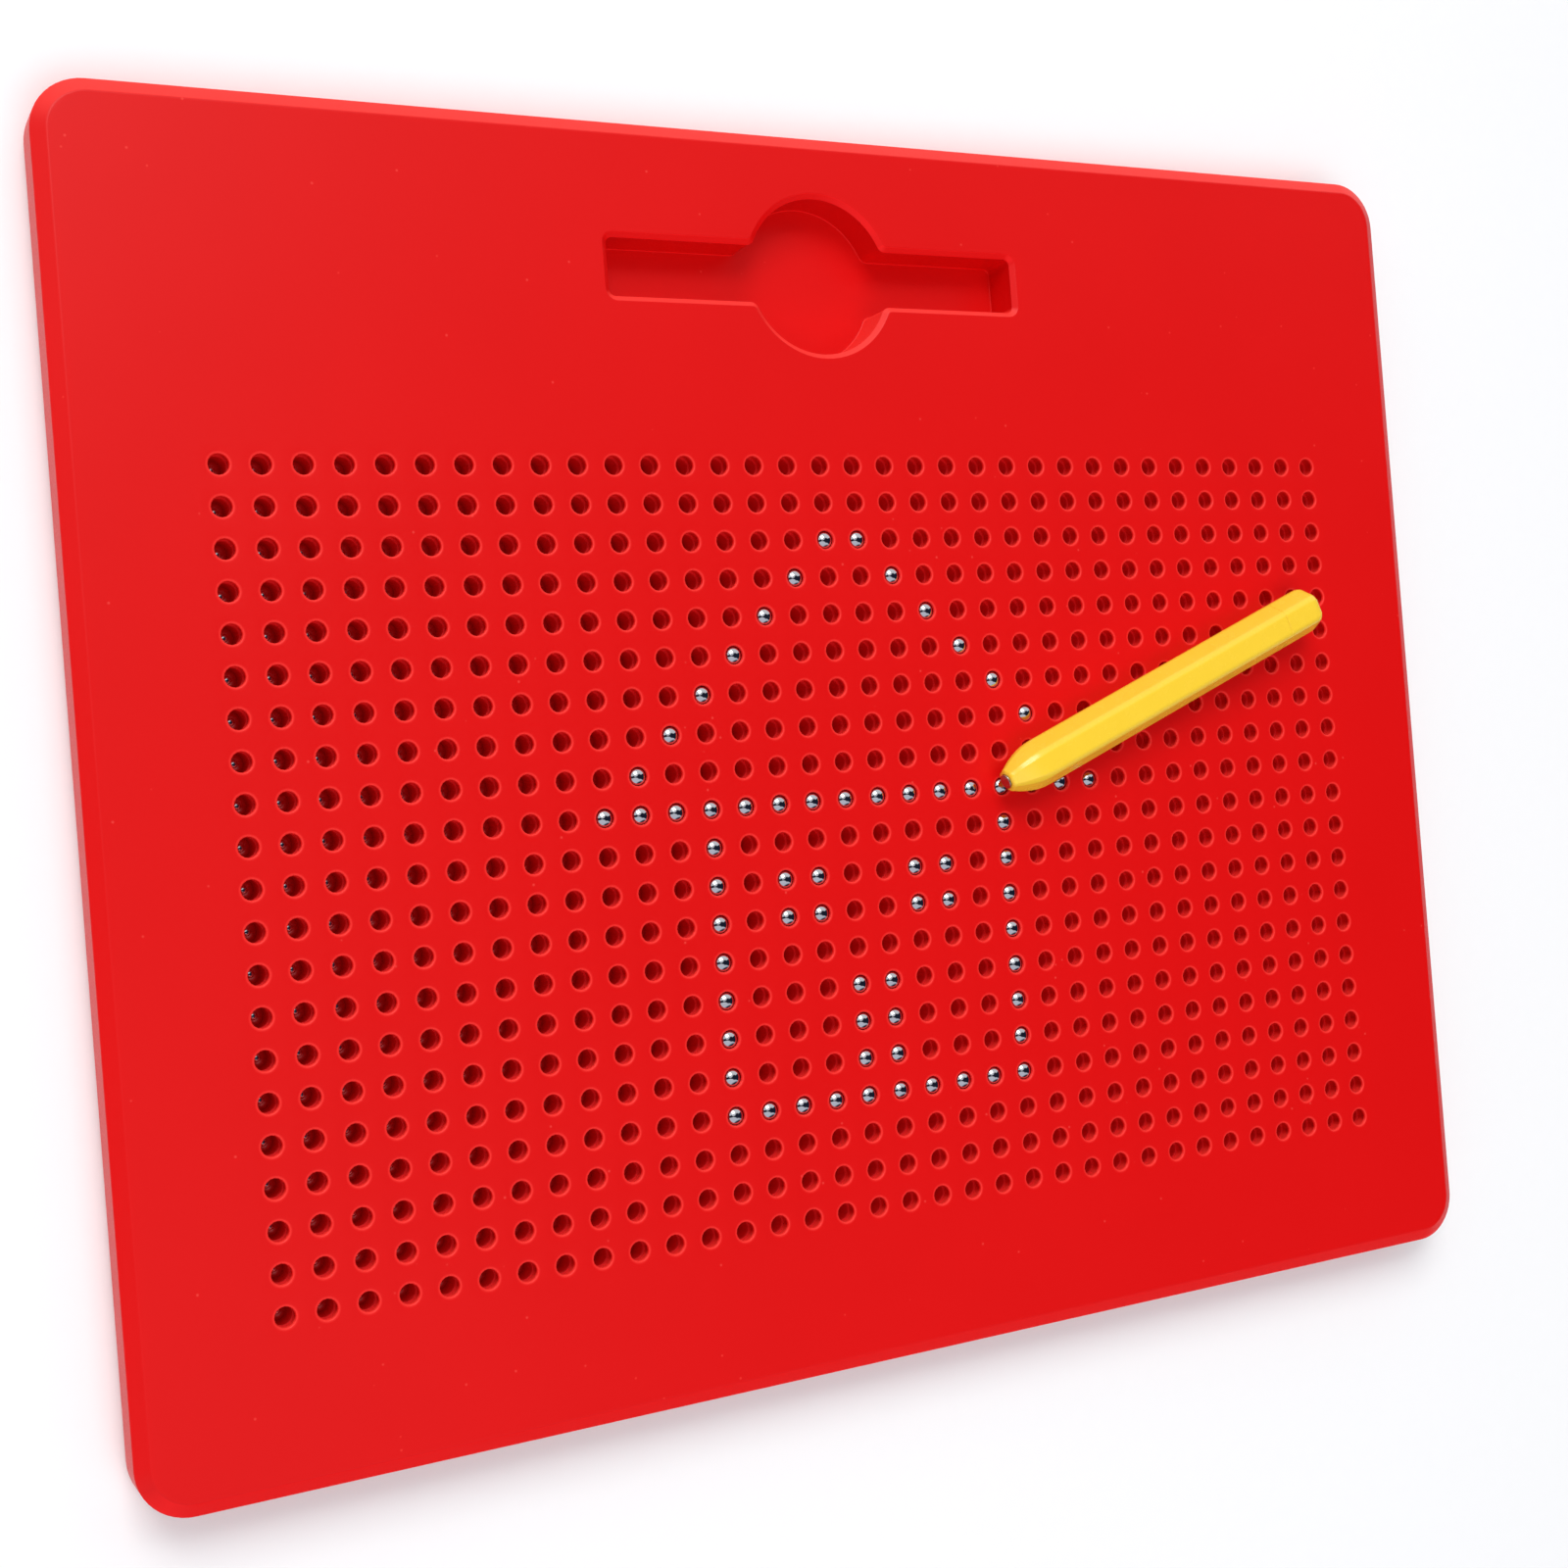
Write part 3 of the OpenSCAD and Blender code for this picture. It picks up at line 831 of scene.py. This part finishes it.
class DRAWBOARD_OT_rear_cover(bpy.types.Operator):
    """Build the rear cover with its rim, ribs, screw pads and countersunk holes"""

    bl_idname = "drawboard.rear_cover"
    bl_label = "Rear Cover"

    def execute(self, context):
        scene = context.scene
        case, cover, screws = scene.board_case, scene.board_cover, scene.board_screws
        low = COVER_LOW.z
        floor = low + cover.thickness
        bm = new_shape()
        soft = cover.soft
        wall = rounding(-soft, low + soft, soft, -90, 0, 4)
        wall += [(0, case.foot), (-cover.step, case.foot), (-cover.step, COVER_HIGH.z)]
        wall += [(-cover.step - cover.rim, COVER_HIGH.z), (-cover.step - cover.rim, floor)]
        under_edge, floor_edge = swept(bm, rectangle(COVER_LOW, COVER_HIGH, cover.corner, 12), wall)
        # ribs round the well plate
        nest = Vector((cover.nest, cover.nest, 0))
        rib_top = floor + cover.rib_height
        rib = [(cover.rim, floor), (cover.rim, rib_top), (0, rib_top), (0, floor)]
        rib_foot, nest_edge = swept(bm, rectangle(PLATE_LOW - nest, PLATE_HIGH + nest), rib)
        flat(bm, nest_edge)
        # screw pads, drilled and countersunk from below
        hole = (screws.shank - screws.pad) / 2 + screws.room
        sink = (screws.head - screws.pad) / 2 + screws.room
        head_z = SCREWS_LOW.z
        cone_z = head_z + (screws.head - screws.shank) / 2
        pad_z = floor + screws.pad_height
        edge = 0.12 * MM
        drill = [(0, floor), (0, pad_z), (hole, pad_z), (hole, cone_z)]
        drill += [(sink, head_z), (sink, low + edge), (sink + edge, low)]
        feet = []
        mouths = []
        for place in screw_places(screws):
            foot, opening = swept(bm, circle(screws.pad / 2, 32, place), drill)
            feet.append(foot)
            mouths.append(opening)
        flat(bm, floor_edge, rib_foot, *feet)
        flat(bm, under_edge, *mouths)
        back = grained_moulding("grained_red_abs", scene.board_finish.back, 0.7 * MM, 0.05 * MM, 0.5)
        finish_piece(bm, "rear_cover_moulding", "rear_cover", back)
        return {"FINISHED"}


class DRAWBOARD_OT_well_plate(bpy.types.Operator):
    """Build the plate whose wells guide the balls"""

    bl_idname = "drawboard.well_plate"
    bl_label = "Well Plate"

    def execute(self, context):
        scene = context.scene
        grid = scene.board_grid
        bm = new_shape()
        bore = [(grid.well / 2, PLATE_HIGH.z), (grid.well / 2, PLATE_LOW.z)]
        pierced_block(bm, grid, PLATE_LOW, PLATE_HIGH, bore)
        tint = scene.board_finish.wells
        # the last value is painted light: the well plate gives off a faint red of its own
        wells = grained_moulding("matt_red_abs", tint, 0.5 * MM, 0.02 * MM, 0.55, 0.1)
        finish_piece(bm, "well_plate_moulding", "well_plate", wells)
        return {"FINISHED"}


class DRAWBOARD_OT_retaining_sheet(bpy.types.Operator):
    """Build the rubber sheet that holds a raised ball"""

    bl_idname = "drawboard.retaining_sheet"
    bl_label = "Retaining Sheet"

    def execute(self, context):
        scene = context.scene
        grid = scene.board_grid
        bm = new_shape()
        bore = [(grid.grip / 2, SHEET_HIGH.z), (grid.grip / 2, SHEET_LOW.z)]
        pierced_block(bm, grid, SHEET_LOW, SHEET_HIGH, bore)
        tint = scene.board_finish.rubber
        # the last value is painted light: the rubber sheet gives off a faint red of its own
        rubber = grained_moulding("soft_red_rubber", tint, 0.3 * MM, 0.02 * MM, 0.75, 0.1)
        finish_piece(bm, "retaining_sheet_rubber", "retaining_sheet", rubber)
        return {"FINISHED"}


class DRAWBOARD_OT_cover_screws(bpy.types.Operator):
    """Build the countersunk screws with their cross recesses"""

    bl_idname = "drawboard.cover_screws"
    bl_label = "Cover Screws"

    def execute(self, context):
        scene = context.scene
        screws = scene.board_screws
        low, high = SCREWS_LOW.z, SCREWS_HIGH.z
        thin = (screws.shank - screws.head) / 2
        point = 0.4 * MM - screws.head / 2
        edge = 0.08 * MM
        body = [(-edge, low), (0, low + edge), (thin, low - thin)]
        body += [(thin, high + point - thin), (point, high)]
        long, wide = screws.recess_length / 2, screws.recess_width / 2
        arm = [Vector((long, -wide)), Vector((long, wide)), Vector((wide, wide))]
        bm = new_shape()
        for place in screw_places(screws):
            rim, tip = swept(bm, circle(screws.head / 2, 24, place), body)
            turns = [Matrix.Rotation(math.radians(90 * quarter), 2) for quarter in range(4)]
            cross = [turn @ p + Vector(place) for turn in turns for p in arm]
            recess, seat = swept(bm, cross, [(0, low), (-0.15 * MM, low + screws.recess_depth)])
            flat(bm, rim, recess)
            flat(bm, seat)
            flat(bm, tip)
        zinc = bright_metal("zinc_plated_steel", scene.board_finish.zinc, 0.3, 0.6 * MM, 0.02 * MM)
        finish_piece(bm, "cover_screws_zinc", "cover_screws", zinc)
        return {"FINISHED"}


class DRAWBOARD_OT_raised_balls(bpy.types.Operator):
    """Build the raised balls, one piece for each stroke of the picture"""

    bl_idname = "drawboard.raised_balls"
    bl_label = "Raised Balls"

    def execute(self, context):
        scene = context.scene
        steel = bright_metal("polished_ball_steel", scene.board_finish.steel, 0.07, 0.4 * MM, 0.002 * MM)
        for node in STROKE_NODES:
            bm = balls_of(node, scene.board_grid, cuts=7)
            finish_piece(bm, node.replace("_balls", "_steel_balls"), node, steel)
        return {"FINISHED"}


class DRAWBOARD_OT_lowered_balls(bpy.types.Operator):
    """Build the lowered balls, one piece for each row of the board"""

    bl_idname = "drawboard.lowered_balls"
    bl_label = "Lowered Balls"

    def execute(self, context):
        scene = context.scene
        steel = bpy.data.materials["polished_ball_steel"]
        for node in ROW_NODES:
            bm = balls_of(node, scene.board_grid, cuts=3)
            finish_piece(bm, node.replace("_balls", "_steel_balls"), node, steel)
        return {"FINISHED"}


class DRAWBOARD_OT_stylus_barrel(bpy.types.Operator):
    """Build the six-sided barrel with its tapered nose"""

    bl_idname = "drawboard.stylus_barrel"
    bl_label = "Stylus Barrel"

    def execute(self, context):
        scene = context.scene
        stylus = scene.board_stylus
        wide = stylus.corners
        bore = stylus.magnet / 2 + stylus.fit
        flat_r = stylus.nose / 2 - stylus.nose_edge
        stations = rounding(flat_r, stylus.nose_edge, stylus.nose_edge, -90, -8, 5)
        # a blunt taper, steep at the nose and level where it reaches the full section
        swell = stylus.corners / 2 - stylus.nose / 2 + 0.5 * MM
        steps = 16
        for i in range(1, steps + 1):
            share = i / steps
            radius = stylus.nose / 2 + swell * math.sin(math.pi / 2 * share**0.8)
            stations.append((radius, stylus.nose_edge + (stylus.nose_length - stylus.nose_edge) * share))
        seam_z = stylus.length - stylus.cap
        magnet_z = stylus.magnet_length - stylus.proud
        stations += [(wide, stylus.nose_length + 3 * MM), (wide, seam_z - stylus.seam)]
        hollow = [(stylus.hollow / 2, seam_z), (stylus.hollow / 2, magnet_z), (bore, magnet_z), (bore, 0)]
        bm = new_shape()
        nose, seam = lathed(bm, stylus_section(stylus), stations)
        bmesh.ops.bridge_loops(bm, edges=nose + turned_in(bm, seam, stylus.seam, hollow))
        lay_stylus(bm, stylus)
        yellow = moulded_yellow_abs(scene.board_finish)
        finish_piece(bm, "stylus_barrel_moulding", "stylus_barrel", yellow)
        return {"FINISHED"}


class DRAWBOARD_OT_stylus_end_cap(bpy.types.Operator):
    """Build the domed end cap with its spigot and moulding mark"""

    bl_idname = "drawboard.stylus_end_cap"
    bl_label = "Stylus End Cap"

    def execute(self, context):
        scene = context.scene
        stylus = scene.board_stylus
        seam_z = stylus.length - stylus.cap
        spigot = stylus.hollow / 2 - stylus.fit
        wide = stylus.corners
        tail = stylus.length
        # the domed tail, a quarter of an oval from the full section to the crown's edge
        full = stylus.corners / 2 + TAPER_BLEND
        edge = stylus.corners / 2 - stylus.dome_fall
        stations = [(wide, seam_z + stylus.seam), (wide, tail - stylus.dome - 2 * MM)]
        steps = 10
        for i in range(steps + 1):
            a = math.pi / 2 * i / steps
            stations.append(
                (edge + (full - edge) * math.cos(a), tail - stylus.crown - stylus.dome * (1 - math.sin(a)))
            )
        # the crown, and the dimple in its middle
        for share in (0.75, 0.5):
            stations.append((edge * share, tail - stylus.crown * share * share))
        dimple = stylus.dimple / 2
        brink = 0.12 * MM
        stations += [(dimple + brink, tail), (dimple, tail - brink), (0.8 * dimple, tail - 0.6 * MM)]
        bm = new_shape()
        root, mark = lathed(bm, stylus_section(stylus), stations)
        flat(bm, mark)
        plug = [(spigot, seam_z), (spigot, seam_z - stylus.spigot)]
        flat(bm, turned_in(bm, root, stylus.seam, plug))
        lay_stylus(bm, stylus)
        yellow = bpy.data.materials["moulded_yellow_abs"]
        finish_piece(bm, "stylus_end_cap_moulding", "stylus_end_cap", yellow)
        return {"FINISHED"}


class DRAWBOARD_OT_stylus_magnet(bpy.types.Operator):
    """Build the plated rod magnet in the nose"""

    bl_idname = "drawboard.stylus_magnet"
    bl_label = "Stylus Magnet"

    def execute(self, context):
        scene = context.scene
        stylus = scene.board_stylus
        edge = 0.15 * MM
        start = -stylus.proud
        end = stylus.magnet_length - stylus.proud
        rod = rounding(-edge, start + edge, edge, -90, 0, 2) + rounding(-edge, end - edge, edge, 0, 90, 2)
        bm = new_shape()
        for rim in swept(bm, circle(stylus.magnet / 2, 32), rod):
            flat(bm, rim)
        lay_stylus(bm, stylus)
        nickel = bright_metal("nickel_plate", scene.board_finish.nickel, 0.2, 0.5 * MM, 0.01 * MM)
        finish_piece(bm, "stylus_magnet_nickel", "stylus_magnet", nickel)
        return {"FINISHED"}


def soft_light(name, place, aim, size, power):
    """A square softbox at place that faces aim."""
    data = bpy.data.lights.new(name, "AREA")
    data.shape = "SQUARE"
    data.size = size
    data.energy = power
    lamp = bpy.data.objects.new(name, data)
    lamp.location = place
    lamp.rotation_euler = (Vector(aim) - Vector(place)).to_track_quat("-Z", "Y").to_euler()
    bpy.context.scene.collection.objects.link(lamp)
    return lamp


class DRAWBOARD_OT_stage(bpy.types.Operator):
    """Build the stage: pale floor, surroundings, soft lights and camera"""

    bl_idname = "drawboard.stage"
    bl_label = "Stage"

    def execute(self, context):
        scene = context.scene
        studio = scene.board_studio
        bm = bmesh.new()
        bmesh.ops.create_grid(bm, x_segments=8, y_segments=8, size=4)
        bmesh.ops.translate(bm, vec=(0, 0, CAD_BOX[0].z - 0.05 * MM), verts=bm.verts)
        mesh = bpy.data.meshes.new("studio_floor")
        bm.to_mesh(mesh)
        bm.free()
        mesh.materials.append(studio_paper(scene.board_finish))
        floor = bpy.data.objects.new("studio_floor", mesh)
        scene.collection.objects.link(floor)
        self.surroundings(scene, studio)
        soft_light("key_softbox", (-0.45, 1.25, 1.5), (0, 0, 0), 1.0, studio.key)
        fill = soft_light("overhead_softbox", (-0.1, -0.5, 1.2), (0, 0, 0), 0.9, studio.fill)
        fill.visible_glossy = False
        data = bpy.data.cameras.new("camera")
        data.lens = studio.lens
        data.sensor_width = 36
        data.clip_start = 0.01
        camera = bpy.data.objects.new("camera", data)
        back = (Vector(studio.camera) - Vector(studio.target)).normalized()
        right = Vector(studio.upright).cross(back).normalized()
        turn = Matrix((right, back.cross(right), back)).transposed()
        camera.matrix_world = Matrix.Translation(studio.camera) @ turn.to_4x4()
        scene.collection.objects.link(camera)
        scene.camera = camera
        scene.view_settings.view_transform = "Standard"
        return {"FINISHED"}

    def surroundings(self, scene, studio):
        """Bright surroundings with a dark band and dark flags, which the steel balls mirror."""
        world = bpy.data.worlds.new("studio")
        world.use_nodes = True
        tree = world.node_tree
        way = add(tree, "ShaderNodeTexCoord").outputs["Generated"]
        x, y = axes(tree, way)[:2]
        # a dark band across the sky, widening to both ends, gives polished balls their dark middle
        side = maths(tree, "ABSOLUTE", maths(tree, "ADD", y, 0.07))
        spread = maths(tree, "ABSOLUTE", maths(tree, "ADD", x, 0.3))
        gap = maths(tree, "MULTIPLY_ADD", spread, -0.26, side)
        lit = remap(tree, gap, 0.04, 0.1, 0.0, 1.0, interpolation_type="SMOOTHSTEP")
        # dark flags: by the camera, and where the face and its lower border would mirror the sky
        flags = (
            ((-0.6, 0, 0.8), 0.99, 0.97),
            ((0.45, 0, 0.89), 0.95, 0.88),
            ((0.47, -0.88, 0.1), 0.96, 0.8),
        )
        for flag, near, far in flags:
            closeness = vectors(tree, "DOT_PRODUCT", way, flag)
            edge = remap(tree, closeness, far, near, 1.0, 0.0, interpolation_type="SMOOTHSTEP")
            lit = maths(tree, "MULTIPLY", lit, edge)
        # brighter towards the top edge of the board, a little lavender towards its bottom edge
        share = remap(tree, y, -0.8, 0.8, 0.0, 1.0)
        dome = blend(tree, share, (1.0, 1.03, 1.15, 1), (1.25, 1.24, 1.22, 1))
        shade = blend(tree, lit, (0.02, 0.025, 0.05, 1), dome)
        background = tree.nodes["Background"]
        background.inputs["Strength"].default_value = studio.sky
        tree.links.new(shade, background.inputs["Color"])
        scene.world = world


class DRAWBOARD_PT_panel(bpy.types.Panel):
    """Lists the board's pieces, sizes and colours"""

    bl_idname = "DRAWBOARD_PT_panel"
    bl_label = "Drawing Board"
    bl_space_type = "VIEW_3D"
    bl_region_type = "UI"
    bl_category = "Drawing Board"

    def draw(self, context):
        for operator in OPERATORS:
            self.layout.operator(operator.bl_idname)
        for name in GROUPS:
            group = getattr(context.scene, name)
            box = self.layout.box()
            box.label(text=name.replace("_", " ").title())
            for key in group.__annotations__:
                box.prop(group, key)


GROUPS = {
    "board_grid": BoardGrid,
    "board_case": BoardCase,
    "board_tray": BoardTray,
    "board_cover": BoardCover,
    "board_screws": BoardScrews,
    "board_stylus": BoardStylus,
    "board_finish": BoardFinish,
    "board_studio": BoardStudio,
}
OPERATORS = (
    DRAWBOARD_OT_stage,
    DRAWBOARD_OT_front_panel,
    DRAWBOARD_OT_rear_cover,
    DRAWBOARD_OT_well_plate,
    DRAWBOARD_OT_retaining_sheet,
    DRAWBOARD_OT_cover_screws,
    DRAWBOARD_OT_raised_balls,
    DRAWBOARD_OT_lowered_balls,
    DRAWBOARD_OT_stylus_barrel,
    DRAWBOARD_OT_stylus_end_cap,
    DRAWBOARD_OT_stylus_magnet,
)


def register():
    for group in GROUPS.values():
        bpy.utils.register_class(group)
    for name, group in GROUPS.items():
        setattr(bpy.types.Scene, name, PointerProperty(type=group))
    for cls in OPERATORS + (DRAWBOARD_PT_panel,):
        bpy.utils.register_class(cls)


def unregister():
    for cls in reversed(OPERATORS + (DRAWBOARD_PT_panel,)):
        bpy.utils.unregister_class(cls)
    for name, group in GROUPS.items():
        delattr(bpy.types.Scene, name)
        bpy.utils.unregister_class(group)


def main():
    register()
    for operator in OPERATORS:
        getattr(bpy.ops.drawboard, operator.bl_idname.split(".")[1])()


if __name__ == "__main__":
    main()
